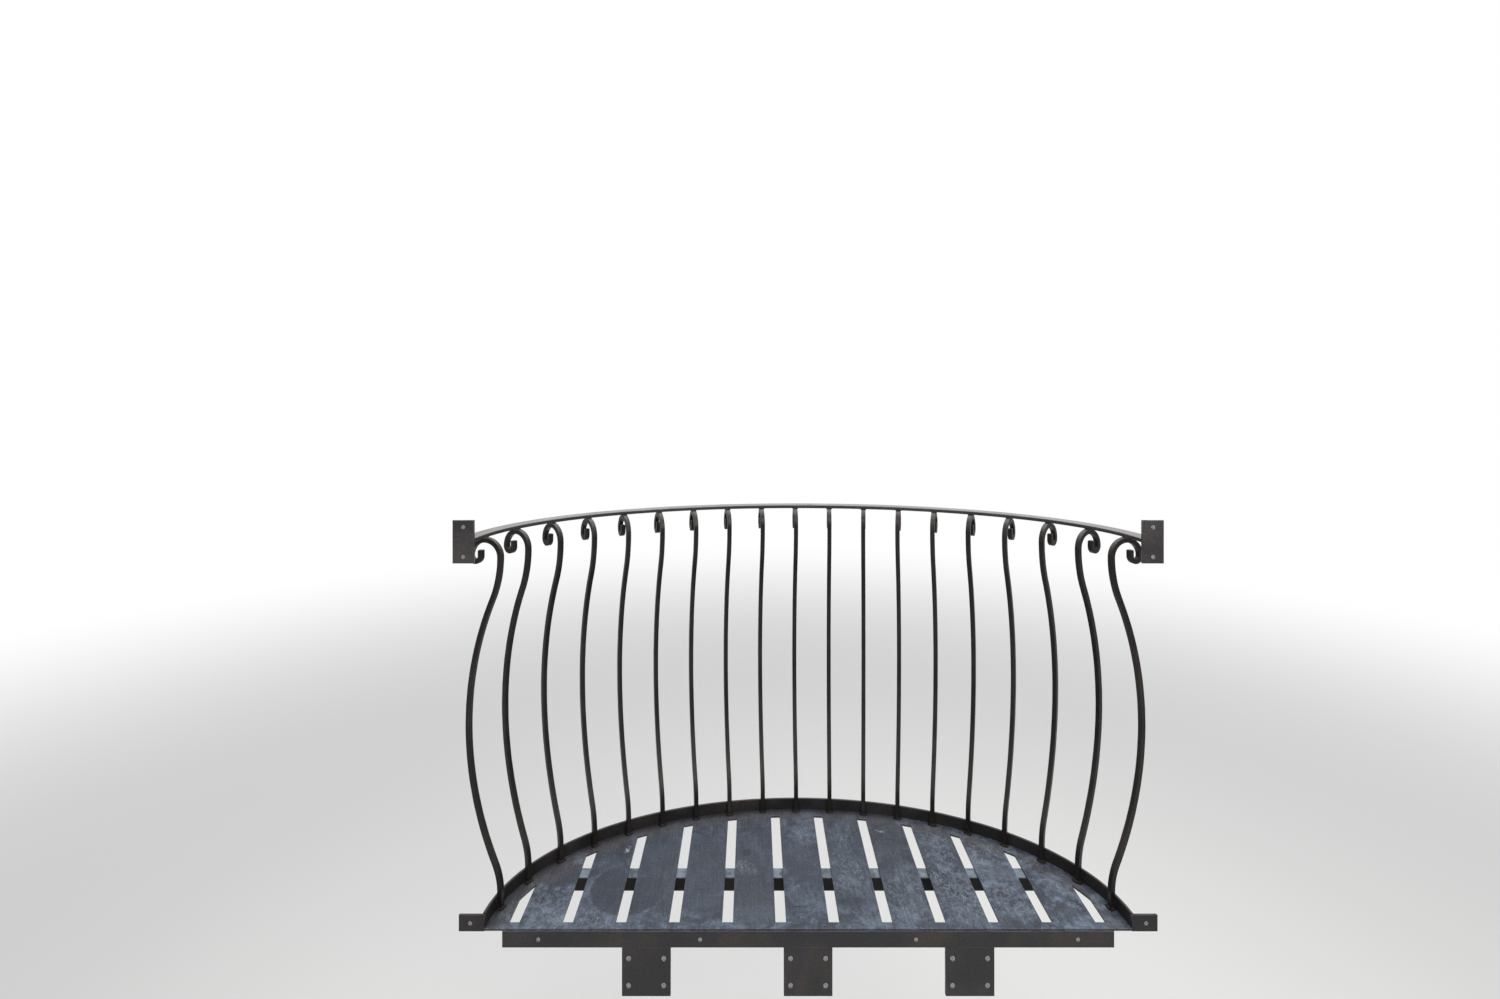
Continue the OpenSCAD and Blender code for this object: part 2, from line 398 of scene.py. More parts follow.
SOFT_LIGHT = tone(0.96, 0.98, 1.0)

# Marks on the deck: x, y, half width, half length, turn, strength and colour
DECK_STAINS = (
    (-0.640, 0.192, 0.066, 0.056, 0.2, 0.95, tone(0.051, 0.053, 0.071)),
    (-0.230, 0.185, 0.180, 0.150, 0.1, 0.60, tone(0.050, 0.057, 0.073)),
    (0.250, 0.330, 0.055, 0.110, 0.0, 0.60, tone(0.052, 0.057, 0.071)),
    (-0.146, 0.272, 0.014, 0.015, 0.0, 0.90, tone(0.036, 0.035, 0.043)),
    (-0.482, 0.292, 0.022, 0.045, 0.0, 0.70, tone(0.034, 0.037, 0.047)),
    (-0.122, 0.072, 0.052, 0.075, 0.3, 0.65, tone(0.061, 0.067, 0.082)),
    (-0.385, 0.275, 0.060, 0.080, 0.0, 0.55, tone(0.043, 0.049, 0.063)),
    (0.040, 0.240, 0.130, 0.070, 0.2, 0.60, tone(0.050, 0.058, 0.078)),
    (0.642, 0.056, 0.032, 0.020, 0.3, 0.70, tone(0.052, 0.058, 0.075)),
    (0.515, 0.188, 0.045, 0.034, -0.3, 0.50, tone(0.073, 0.085, 0.112)),
)
DECK_SCUFFS = (
    (0.018, 0.370, 0.030, 0.080, 0.10, 0.60, tone(0.195, 0.232, 0.290)),
    (0.127, 0.350, 0.034, 0.050, 0.10, 0.55, tone(0.190, 0.215, 0.255)),
    (0.130, 0.195, 0.040, 0.085, -0.35, 0.60, tone(0.195, 0.220, 0.252)),
    (0.105, 0.150, 0.035, 0.040, 0.6, 0.50, tone(0.190, 0.215, 0.246)),
    (0.235, 0.365, 0.011, 0.004, 0.3, 1.00, tone(0.38, 0.41, 0.45)),
    (-0.475, 0.285, 0.007, 0.012, 0.2, 1.00, tone(0.45, 0.48, 0.52)),
    (-0.155, 0.212, 0.030, 0.022, 0.5, 0.75, tone(0.225, 0.250, 0.285)),
    (0.390, 0.130, 0.055, 0.100, -0.5, 0.85, tone(0.196, 0.232, 0.286)),
    (0.385, 0.285, 0.045, 0.050, -0.3, 0.70, tone(0.190, 0.225, 0.280)),
    (0.520, 0.110, 0.050, 0.090, -0.3, 0.60, tone(0.200, 0.232, 0.280)),
    (0.640, 0.135, 0.045, 0.050, 0.4, 0.35, tone(0.190, 0.222, 0.270)),
    (-0.640, 0.060, 0.055, 0.055, 0.8, 0.70, tone(0.195, 0.225, 0.270)),
    (-0.545, 0.035, 0.120, 0.030, 0.1, 0.80, tone(0.190, 0.218, 0.262)),
    (0.300, 0.050, 0.200, 0.030, 0.0, 0.60, tone(0.190, 0.218, 0.262)),
    (0.254, 0.135, 0.048, 0.075, 0.2, 0.65, tone(0.195, 0.220, 0.255)),
    (0.495, 0.260, 0.048, 0.055, 0.2, 0.70, tone(0.195, 0.222, 0.262)),
    (0.385, 0.335, 0.045, 0.045, 0.1, 0.60, tone(0.195, 0.222, 0.258)),
)
# Round marks: x, y, radius, width of the pale line and darkening inside
DECK_RINGS = ((-0.447, 0.135, 0.100, 0.006, 0.70), (0.035, 0.395, 0.045, 0.004, 0.12))
# Wear drawn out along two slightly different directions: turn, stretch and strength
DECK_WEAR = ((1.45, (10.0, 95.0, 1.0), 0.50), (0.30, (8.0, 80.0, 1.0), 0.34))
# How the noise is stretched that breaks up the scuffs, and turn and stretch of the brushing
SCUFF_STRETCH = (95.0, 60.0, 1.0)
BRUSHING = (0.02, (170.0, 11.0, 1.0))


# Nodes of the materials

def fill(tree, node, inputs):
    """Gives a node's inputs, by name or number, a constant or another node's socket."""
    for key, value in inputs.items():
        socket = node.inputs[key]
        if isinstance(value, bpy.types.NodeSocket):
            tree.links.new(value, socket)
        else:
            socket.default_value = value


def add(tree, kind, inputs=None, **settings):
    """Adds a node with its inputs, and settings such as its operation."""
    made = tree.nodes.new("ShaderNode" + kind)
    for key, value in settings.items():
        setattr(made, key, value)
    fill(tree, made, inputs or {})
    return made


def blend_colour(tree, factor, a, b, mode="MIX"):
    mix = add(tree, "Mix", {0: factor, 6: a, 7: b}, data_type="RGBA", blend_type=mode)
    return mix.outputs[2]


def spread(tree, value, low, high, to_low=0.0, to_high=1.0):
    """A value remapped smoothly from low..high to to_low..to_high, and kept within that range."""
    made = add(tree, "MapRange", {0: value, 1: low, 2: high, 3: to_low, 4: to_high},
               interpolation_type="SMOOTHSTEP")
    return made.outputs[0]


def calc(tree, operation, a, b=0.0):
    return add(tree, "Math", {0: a, 1: b}, operation=operation).outputs[0]


def product(tree, *values):
    return functools.reduce(lambda a, b: calc(tree, "MULTIPLY", a, b), values)


def sway(tree, value, amount):
    """A noise from 0 to 1 as a shift to both sides of zero."""
    return product(tree, calc(tree, "SUBTRACT", value, 0.5), amount)


def mapped(tree, place, **how):
    """A place moved by Location, turned by Rotation or stretched by Scale."""
    return add(tree, "Mapping", {"Vector": place, **how}).outputs[0]


def length_of(tree, vector):
    return add(tree, "VectorMath", {0: vector}, operation="LENGTH").outputs["Value"]


def height_of(tree, vector):
    return add(tree, "SeparateXYZ", {0: vector}).outputs[2]


def noise_at(tree, place, scale, detail=4.0, rough=0.55, distort=0.0):
    return add(tree, "TexNoise", {"Vector": place, "Scale": scale, "Detail": detail,
                                  "Roughness": rough, "Distortion": distort}).outputs[0]


def drawn_noise(tree, place, turn, stretch, detail, rough, distort):
    """Noise in streaks: turned, and stretched by different scales along and across."""
    streaked = mapped(tree, place, Rotation=(0, 0, turn), Scale=stretch)
    return noise_at(tree, streaked, 1.0, detail, rough, distort)


def surface_height(tree):
    """The Z of the surface's direction: 1 on floors, 0 on walls."""
    return height_of(tree, add(tree, "NewGeometry").outputs["Normal"])


def bump_of(tree, height, strength, distance):
    return add(tree, "Bump", {"Strength": strength, "Distance": distance,
                              "Height": height}).outputs[0]


def new_material(name):
    mat = bpy.data.materials.new(name)
    mat.use_nodes = True
    tree = mat.node_tree
    tree.nodes.clear()
    out = add(tree, "OutputMaterial")
    shader = add(tree, "BsdfPrincipled")
    tree.links.new(shader.outputs[0], out.inputs[0])
    place = add(tree, "TexCoord").outputs["Object"]
    return mat, tree, shader, place


# Materials

def black_paint(name, base, brown, dust_and_top_light, dust_and_light_amount, gloss, specular, stain_near=None,
                dust_and_light_rough=0.35):
    """Weathered black paint: brown bloom, dust and painted top light on what faces up, chips and a
    fine orange peel.

    Gloss is the roughness of clean paint. stain_near gives two heights: the paint is stained below
    the second, and most at the first.
    """
    mat, tree, shader, place = new_material(name)
    wide = noise_at(tree, place, 5.5, detail=6.0, rough=0.6, distort=0.4)
    fine = noise_at(tree, place, 160.0, detail=5.0, rough=0.6)
    colour = blend_colour(tree, spread(tree, wide, 0.42, 0.66), base, brown)
    cooler = tone(base[0] * 0.9, base[1] * 0.95, base[2] * 1.35)
    cool = spread(tree, noise_at(tree, place, 11.0, detail=3.0), 0.5, 0.7, to_high=0.5)
    colour = blend_colour(tree, cool, colour, cooler)
    grime = spread(tree, fine, 0.35, 0.75, to_low=0.75, to_high=1.15)
    colour = blend_colour(tree, 1.0, colour, grime, "MULTIPLY")
    # What faces up takes the dust colour: dust, which on the rail and bearer is also painted sky
    # light
    upward = spread(tree, surface_height(tree), 0.15, 0.95)
    patches = noise_at(tree, place, 26.0, detail=6.0, rough=0.65)
    dust_and_light_mask = product(tree, upward, spread(tree, patches, 0.3, 0.62, to_low=0.25), dust_and_light_amount)
    colour = blend_colour(tree, dust_and_light_mask, colour, dust_and_top_light)
    chips = noise_at(tree, place, 95.0, detail=7.0, rough=0.7, distort=0.6)
    chips = spread(tree, chips, 0.70, 0.74)
    colour = blend_colour(tree, product(tree, chips, 0.55), colour, CHIP_BROWN)
    if stain_near:
        low, high = stain_near
        near = spread(tree, height_of(tree, place), high, low)
        speckle = noise_at(tree, place, 130.0, detail=6.0, rough=0.7)
        stain = product(tree, near, spread(tree, speckle, 0.45, 0.62), 0.45)
        colour = blend_colour(tree, stain, colour, FOOT_STAIN)
    clean = spread(tree, wide, 0.3, 0.7, to_low=gloss - 0.07, to_high=gloss + 0.1)
    peel = noise_at(tree, place, 900.0, detail=3.0)
    lumps = noise_at(tree, place, 130.0, rough=0.6)
    height = calc(tree, "ADD", product(tree, peel, 0.25), lumps)
    height = calc(tree, "SUBTRACT", height, product(tree, chips, 0.6))
    fill(tree, shader, {
        "Base Color": colour,
        "Roughness": calc(tree, "ADD", clean, product(tree, dust_and_light_mask, dust_and_light_rough)),
        "Specular IOR Level": specular,
        "Normal": bump_of(tree, height, strength=0.35, distance=0.0005),
    })
    return mat


def patch_mask(tree, place, ragged, x, y, rx, ry, turn, soft):
    """1 inside a rounded patch of the deck and 0 outside, with a ragged, soft edge."""
    moved = mapped(tree, place, Location=(-x, -y, 0))
    turned = mapped(tree, moved, Rotation=(0, 0, turn))
    away = length_of(tree, mapped(tree, turned, Scale=(1 / rx, 1 / ry, 0)))
    away = calc(tree, "ADD", away, sway(tree, ragged, 1.1))
    return spread(tree, away, 1.0 + soft / 2, 1.0 - soft / 2)


def inside_rim(tree, place):
    """Distance inside the rim's ellipse, close to it."""
    def scaled_length(x_scale, y_scale):
        return length_of(tree, mapped(tree, place, Scale=(x_scale, y_scale, 0.0)))

    reach = scaled_length(1 / DECK_HALF_W, 1 / DECK_REACH)
    slope = scaled_length(1 / DECK_HALF_W ** 2, 1 / DECK_REACH ** 2)
    return calc(tree, "DIVIDE", product(tree, calc(tree, "SUBTRACT", 1.0, reach), reach), slope)


def deck_paint():
    """Blue-grey floor paint: chalky mottling, scuffs, grain, dirt along the rim, pot marks and
    painted shade on its upright cut faces.
    """
    mat, tree, shader, place = new_material("deck_paint")
    wide = noise_at(tree, place, 4.5, detail=6.0, rough=0.6, distort=0.6)
    clouds = noise_at(tree, place, 13.0, detail=9.0, rough=0.66, distort=0.7)
    small = noise_at(tree, place, 46.0, detail=8.0, rough=0.7, distort=0.4)
    grain = noise_at(tree, place, 230.0, detail=5.0, rough=0.72)
    across, out, _ = add(tree, "SeparateXYZ", {0: place}).outputs
    colour = blend_colour(tree, spread(tree, wide, 0.35, 0.66), DECK_DARK, DECK_MID)
    colour = blend_colour(tree, spread(tree, clouds, 0.40, 0.68, to_high=0.65), colour, DECK_BLUE)

    # Chalky bloom: most at both sides and near the wall, least in the middle
    right = spread(tree, across, 0.20, 0.42)
    left = spread(tree, across, -0.50, -0.62)
    wall = spread(tree, out, 0.11, 0.02, to_high=0.55)
    middle = spread(tree, calc(tree, "ABSOLUTE", across), 0.10, 0.0, to_high=0.35)
    where = functools.reduce(lambda a, b: calc(tree, "MAXIMUM", a, b), (right, left, wall, middle))
    where = calc(tree, "ADD", product(tree, where, 0.80), 0.20)
    bloom = calc(tree, "ADD", product(tree, clouds, 0.55), product(tree, small, 0.45))
    bloom = spread(tree, bloom, 0.44, 0.62)
    colour = blend_colour(tree, product(tree, bloom, where), colour, DECK_CHALK)

    # Wear in streaks
    for turn, stretch, strength in DECK_WEAR:
        drawn = drawn_noise(tree, place, turn, stretch, detail=8.0, rough=0.72, distort=0.3)
        spots = noise_at(tree, place, 8.0 + stretch[0], detail=3.0)
        worn = product(tree, spread(tree, drawn, 0.54, 0.72), spread(tree, spots, 0.44, 0.64),
                       strength)
        colour = blend_colour(tree, worn, colour, DECK_CHALK)

    # Soft stains, and scuffs that are broken up into fine lines
    mottled = spread(tree, small, 0.36, 0.60, to_low=0.55)
    for x, y, rx, ry, turn, strength, shade in DECK_STAINS:
        mask = patch_mask(tree, place, clouds, x, y, rx, ry, turn, soft=0.35)
        colour = blend_colour(tree, product(tree, mask, mottled, strength), colour, shade)
    for x, y, rx, ry, turn, strength, shade in DECK_SCUFFS:
        mask = patch_mask(tree, place, small, x, y, rx, ry, turn, soft=1.3)
        broken = drawn_noise(tree, place, turn, SCUFF_STRETCH, detail=9.0, rough=0.78, distort=0.9)
        broken = spread(tree, broken, 0.45, 0.60)
        colour = blend_colour(tree, product(tree, mask, broken, strength), colour, shade)

    # Round marks, clearest at their lower left
    for x, y, r, line_w, strength in DECK_RINGS:
        moved = mapped(tree, place, Location=(-x / r, -y / r, 0), Scale=(1 / r, 1 / r, 0))
        away = calc(tree, "ADD", length_of(tree, moved), sway(tree, wide, 0.12))
        away = calc(tree, "ADD", away, sway(tree, small, 0.16))
        aside = calc(tree, "ADD", calc(tree, "SUBTRACT", across, x), calc(tree, "SUBTRACT", out, y))
        clear = spread(tree, aside, 1.1 * r, -0.5 * r, to_low=0.24)
        off = calc(tree, "ABSOLUTE", calc(tree, "SUBTRACT", away, 1.0))
        ring = product(tree, spread(tree, off, line_w / r, 0.0), clear,
                       spread(tree, clouds, 0.42, 0.56), 0.30)
        disc = product(tree, spread(tree, away, 1.0, 0.90), clear, strength)
        colour = blend_colour(tree, disc, colour, DECK_DARK)
        colour = blend_colour(tree, ring, colour, DECK_CHALK)

    # Dirt that gathers along the rim, more on the left, and a dusty edge to it
    depth = calc(tree, "SUBTRACT", inside_rim(tree, place), sway(tree, small, 0.06))
    dirty = spread(tree, depth, 0.045, -0.009)
    heavier = spread(tree, across, -0.2, 0.4, to_low=0.85, to_high=0.25)
    colour = blend_colour(tree, product(tree, dirty, heavier), colour, DECK_DIRT)
    beside = calc(tree, "SUBTRACT", 1.0, dirty)
    dusty = product(tree, spread(tree, depth, 0.075, 0.033), beside, 0.38)
    colour = blend_colour(tree, dusty, colour, DECK_DUST)

    # Painted shade on the plate's upright cut faces, such as the slot sides, and pale worn arrises
    up = calc(tree, "ABSOLUTE", surface_height(tree))
    side = spread(tree, up, 0.35, 0.10)
    colour = blend_colour(tree, product(tree, side, 0.7), colour, SLOT_SIDE_SHADE)
    arris = product(tree, spread(tree, up, 0.25, 0.5), spread(tree, up, 0.97, 0.85), 0.7)
    colour = blend_colour(tree, arris, colour, WORN_ARRIS)

    # Small pale specks and dark pits
    specks = spread(tree, noise_at(tree, place, 175.0, detail=3.0, rough=0.6), 0.70, 0.75)
    colour = blend_colour(tree, product(tree, specks, 0.55), colour, PALE_SPECK)
    pits = spread(tree, noise_at(tree, place, 120.0, rough=0.6), 0.31, 0.26)
    colour = blend_colour(tree, product(tree, pits, 0.6), colour, DARK_PIT)

    # Faint lengthwise brushing, mottling and grit
    turn, stretch = BRUSHING
    brushed = drawn_noise(tree, place, turn, stretch, detail=6.0, rough=0.7, distort=0.2)
    for value, low, high, darkest, palest in (
            (brushed, 0.32, 0.68, 0.84, 1.17),
            (small, 0.30, 0.70, 0.86, 1.15),
            (grain, 0.30, 0.72, 0.66, 1.32)):
        shade = spread(tree, value, low, high, darkest, palest)
        colour = blend_colour(tree, 1.0, colour, shade, "MULTIPLY")

    smooth = spread(tree, small, 0.3, 0.7, to_low=0.46, to_high=0.66)
    grit = noise_at(tree, place, 300.0, detail=5.0, rough=0.65)
    height = calc(tree, "ADD", product(tree, clouds, 0.8), product(tree, grit, 0.5))
    fill(tree, shader, {
        "Base Color": colour,
        "Roughness": calc(tree, "ADD", smooth, product(tree, bloom, 0.06)),
        "Specular IOR Level": 0.25,
        "Normal": bump_of(tree, height, strength=0.4, distance=0.0007),
    })
    return mat


def zinc(name):
    """Dull, spotted zinc of the bolts and washers."""
    mat, tree, shader, place = new_material(name)
    spots = noise_at(tree, place, 240.0, detail=5.0, rough=0.6, distort=0.5)
    colour = blend_colour(tree, spread(tree, spots, 0.35, 0.68), ZINC_DULL, ZINC_PALE)
    rust = spread(tree, noise_at(tree, place, 90.0, detail=6.0, rough=0.7), 0.58, 0.70)
    rusty = product(tree, rust, 0.7)
    fill(tree, shader, {
        "Base Color": blend_colour(tree, rusty, colour, ZINC_RUST),
        "Metallic": calc(tree, "SUBTRACT", 0.85, rusty),
        "Roughness": spread(tree, spots, 0.3, 0.7, to_low=0.38, to_high=0.58),
        "Normal": bump_of(tree, spots, strength=0.25, distance=0.0003),
    })
    return mat


BAR_PAINT = black_paint(
    "bar_paint", tone(0.0106, 0.0094, 0.0088), tone(0.0222, 0.0186, 0.0168),
    tone(0.14, 0.126, 0.116), dust_and_light_amount=0.44, gloss=0.31, specular=0.25,
    stain_near=(DECK_Z + 0.002, DECK_Z + 0.03))
# The rail's pale dust colour is partly dust and partly painted sky reflection on its top face
RAIL_PAINT = black_paint(
    "rail_paint", tone(0.028, 0.026, 0.029), tone(0.050, 0.044, 0.043),
    tone(0.30, 0.285, 0.27), dust_and_light_amount=0.30, gloss=0.17, specular=0.55, dust_and_light_rough=0.12)
RIM_PAINT = black_paint(
    "rim_paint", tone(0.0165, 0.0155, 0.0160), tone(0.029, 0.0255, 0.025),
    tone(0.12, 0.113, 0.108), dust_and_light_amount=0.5, gloss=0.38, specular=0.28,
    stain_near=(DECK_Z, DECK_Z + 0.006))
FRAME_PAINT = black_paint(
    "frame_paint", tone(0.018, 0.018, 0.020), tone(0.036, 0.031, 0.029),
    tone(0.16, 0.165, 0.175), dust_and_light_amount=0.75, gloss=0.44, specular=0.35)
# The bearer's pale blue dust colour is partly dust and partly painted sky light on its top face
BEARER_PAINT = black_paint(
    "bearer_paint", tone(0.0080, 0.0074, 0.0074), tone(0.0155, 0.0132, 0.0125),
    tone(0.266, 0.309, 0.366), dust_and_light_amount=0.98, gloss=0.46, specular=0.20)
WELD_PAINT = black_paint(
    "foot_weld_paint", tone(0.0105, 0.0096, 0.0092), tone(0.0165, 0.0132, 0.0115),
    tone(0.065, 0.058, 0.052), dust_and_light_amount=0.18, gloss=0.48, specular=0.20)
DECK_PAINT = deck_paint()
ZINC = zinc("bolt_zinc")


def dress(obj, material, slot, *nodes):
    """Gives a piece its material and body, and hides the solids it stands for. The slot is not
    used.
    """
    obj.data.materials.clear()
    obj.data.materials.append(material)
    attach(obj, "root")
    if nodes:
        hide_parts(*nodes)


# Bars, deck and tubes

def make_bar(name, a, seed):
    """One baluster: a forged square bar with eased arrises and a rounded tip."""
    foot = plan_point(a, -BAR_INSET) + UP * DECK_Z
    out = rim_normal(a)
    across = UP.cross(out)
    stations = []
    for s, z, heading in bar_path():
        side = math.cos(heading) * out - math.sin(heading) * UP
        stations.append((foot + s * out + z * UP, side, across, 0.0))
    section = rounded_section(BAR_SIZE, BAR_SIZE, BAR_ARRIS)
    obj = swept(name + "_forged", eased_ends(stations, BAR_ARRIS), section, BAR_SIZE, BAR_UNEVEN,
                seed)
    dress(obj, BAR_PAINT, "bar_paint", name)


def plan_sweep(node, wall_node, out, w, arris, uneven):
    """A flat bar that follows the plan curve, cut off square where its wall pieces start."""
    low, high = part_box(node)
    h, z = high.z - low.z, (low.z + high.z) / 2
    wall_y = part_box(wall_node)[1].y
    clear_of_end = 0.004
    stations = []
    for i in range(SWEEP_STEPS + 1):
        a = math.pi * i / SWEEP_STEPS
        p = plan_point(a, out)
        if p.y > wall_y + clear_of_end:
            stations.append((Vector((p.x, p.y, z)), rim_normal(a), UP, 0.0))
    first, last = [(Vector((s[0].x, wall_y, z)), Vector((sign, 0, 0)), UP, 0.0)
                   for s, sign in ((stations[0], 1), (stations[-1], -1))]
    section = rounded_section(w, h, arris, edge_steps=3)
    return swept(node + "_rolled", [first] + stations + [last], section, min(w, h), uneven)


def slot_outline(centre):
    """Outline of one slot: straight sides, and a far end that follows the rim."""
    halvings = 40

    def far_y(x):
        low, high = 0.0, QUARTER
        for _ in range(halvings):
            mid = (low + high) / 2
            if plan_point(mid, -SLOT_MARGIN).x > abs(x):
                low = mid
            else:
                high = mid
        return plan_point(low, -SLOT_MARGIN).y

    x0, x1 = centre - SLOT_W / 2, centre + SLOT_W / 2
    far = [x1 + (x0 - x1) * i / SLOT_END_STEPS for i in range(SLOT_END_STEPS + 1)]
    return [(x0, SLOT_START), (x1, SLOT_START)] + [(x, far_y(x)) for x in far]


def make_deck():
    clear_of_end = 0.001
    rim = [plan_point(math.pi * i / DECK_STEPS, 0) for i in range(DECK_STEPS + 1)]
    outline = [(p.x, p.y) for p in rim if p.y > PLATE_WALL_GAP + clear_of_end]
    outline = [(DECK_HALF_W, PLATE_WALL_GAP)] + outline + [(-DECK_HALF_W, PLATE_WALL_GAP)]
    slots = [slot_outline(side * (k - 0.5) * SLOT_PITCH)
             for k in range(1, SLOTS_PER_SIDE + 1) for side in (-1, 1)]
    obj = outlined_plate("deck_plate_painted", [outline] + slots, PLATE_T, DECK_ARRIS)
    obj.data.transform(Matrix.Translation((0, 0, DECK_Z - PLATE_T / 2)))
    dress(obj, DECK_PAINT, "deck_paint", "deck_plate")


def tube(node, caps, material, slot):
    """A square tube with rounded corners, from end to end of a node, and the caps on its ends."""
    low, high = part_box(node)
    size = high.z - low.z
    section = rounded_section(size, size, TUBE_CORNER, arc_steps=4, edge_steps=3)
    axis, u = Vector((1, 0, 0)), Vector((0, 1, 0))
    along = 0 if high.x - low.x > high.y - low.y else 1
    if along == 1:
        axis, u = u, axis
    centre = (low + high) / 2
    reach = ((high - low) / 2)[along]
    steps = max(2, int(2 * reach / TUBE_STEP))
    stations = [(centre + axis * (-reach + 2 * reach * i / steps), u, UP, 0.0)
                for i in range(steps + 1)]
    obj = swept(node + "_tube", stations, section, size, TUBE_UNEVEN)
    dress(obj, material, slot, node)
    for cap in caps:
        low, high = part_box(cap)
        centre = (low + high) / 2
        thick = high[along] - low[along]
        stations = [(centre + axis * thick * (i / CAP_STEPS - 0.5), u, UP, 0.0)
                    for i in range(CAP_STEPS + 1)]
        obj = swept(cap + "_welded", eased_ends(stations, CAP_ARRIS), section, size)
        dress(obj, material, slot, cap)


# Welds

def bead(body, path, radius, seed):
    """A weld bead along a path: a lumpy, rippled tube that thins out at its ends."""
    phase = random.Random(seed).random() * FULL_TURN
    ripple_l, ripple_depth = 0.0011, 0.10
    lump_fineness, lump_depth = 300, 0.16
    end_size, end_growth = 0.35, 0.22
    run = 0.0
    rings = []
    for i, p in enumerate(path):
        before, after = path[max(i - 1, 0)], path[min(i + 1, len(path) - 1)]
        along = (after - before).normalized()
        u = along.orthogonal().normalized()
        v = along.cross(u)
        run += (p - before).length
        ripple = 1 + ripple_depth * math.sin(run / ripple_l + phase) \
            + lump_depth * noise.noise(p * lump_fineness)
        from_end = min(i, len(path) - 1 - i)
        r = radius * ripple * min(1.0, end_size + end_growth * from_end)
        angles = [FULL_TURN * j / BEAD_SIDES for j in range(BEAD_SIDES)]
        rings.append([p + r * (math.cos(a) * u + math.sin(a) * v) for a in angles])
    body.rings(rings)


def make_bar_welds(angles):
    """Beads round each foot on the deck and beside each arch under the rail."""
    feet, heads = Builder(), Builder()
    half = BAR_SIZE / 2
    above_deck, under_rail = 0.0004, 0.0006
    foot_r, side_r, head_r = (0.0042, 0.0056), 0.0021, 0.0024
    side_start, side_stop = 0.002, 0.024
    head_back, head_l = 0.004, 0.020
    draw = random.Random(SEED)
    for i, a in enumerate(angles):
        out = rim_normal(a)
        across = UP.cross(out)
        foot = plan_point(a, -BAR_INSET) + UP * (DECK_Z + above_deck)
        corners = [foot + half * out - half * across, foot - half * out - half * across,
                   foot - half * out + half * across, foot + half * out + half * across]
        path = [corners[0]]
        for p, q in zip(corners, corners[1:]):
            path += line(p, q)[1:]
        bead(feet, path, draw.uniform(*foot_r), SEED + i)
        for side in (-1, 1):
            edge = foot + half * out + side * half * across
            path = line(edge + UP * side_start, edge + UP * side_stop)
            bead(feet, path, side_r, SIDE_WELD_SEED + 2 * i + side)
        crown = foot + ARCH_R * out
        crown.z = rail_low.z - under_rail
        for side in (-1, 1):
            start = crown + side * half * across - head_back * out
            path = line(start, start + head_l * out)
            bead(heads, path, head_r, HEAD_WELD_SEED + 2 * i + side)
    dress(feet.object("foot_welds"), WELD_PAINT, "bar_paint")
    dress(heads.object("rail_welds"), RAIL_PAINT, "rail_paint")


def make_frame_welds():
    """Beads where the deck meets the rim, bearer and ledger, and where arms and flanges join."""
    body = Builder()
    seeds = itertools.count(FRAME_WELD_SEED)
    proud = 0.0003
    under = deck_low.z - proud
    deck_r, rim_r, arm_r, end_r = 0.0028, 0.0024, 0.0030, 0.0026

    def stitch(p, q, radius):
        bead(body, line(Vector(p), Vector(q)), radius, next(seeds))

    # Under the solid strips of the deck, along the ledger and both sides of the bearer
    ledger_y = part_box("wall_ledger")[1].y
    half_stitch, clear_of_end = 0.02, 0.03
    for k in range(-SLOTS_PER_SIDE + 1, SLOTS_PER_SIDE):
        x = k * SLOT_PITCH
        for y in (ledger_y, bearer_low.y, bearer_high.y):
            if y == ledger_y or abs(x) <= bearer_high.x - clear_of_end:
                stitch((x - half_stitch, y, under), (x + half_stitch, y, under), deck_r)
    # Between rim and deck, underneath: short stretches of the curve, equal angles apart
    stitches_per_side, stitch_angle = 6, 0.215
    points_per_side, point_angle = 11, 0.0016
    inside = 0.0004
    for k in range(-stitches_per_side, stitches_per_side + 1):
        middle = QUARTER + k * stitch_angle
        path = [plan_point(middle + j * point_angle, -inside) + UP * under
                for j in range(-points_per_side, points_per_side + 1)]
        bead(body, path, rim_r, next(seeds))
    # Arms to their wall plates and to the bearer
    plate_gap, corner_gap, bearer_gap = 0.0004, 0.003, 0.004
    for word in ARMS:
        low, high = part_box("arm_" + word)
        y = low.y + plate_gap
        corners = [Vector((x, y, z)) for x, z in rectangle(low.x, low.z, high.x, high.z)]
        for p, q in zip(corners, corners[1:] + corners[:1]):
            gap = (q - p).normalized() * corner_gap
            stitch(p + gap, q - gap, arm_r)
        for x in (low.x, high.x):
            stitch((x, bearer_low.y + bearer_gap, high.z), (x, bearer_high.y - bearer_gap, high.z),
                   deck_r)
    # Rail ends to their flanges, and rim ends to their lugs
    rail_gap, rim_gap = 0.002, 0.003
    for side, word in ENDS:
        low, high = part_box("rail_flange_" + word)
        x, y = (low.x + high.x) / 2, high.y + proud
        for z in (rail_low.z, rail_high.z):
            stitch((x - RAIL_W / 2 + rail_gap, y, z), (x + RAIL_W / 2 - rail_gap, y, z), end_r)
        x, y = side * (DECK_HALF_W + RIM_T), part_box("rim_lug_" + word)[1].y + proud
        stitch((x, y, rim_low.z + rim_gap), (x, y, rim_high.z - rim_gap), end_r)
    dress(body.object("frame_welds"), FRAME_PAINT, "rim_paint")


# Wall pieces and bolts

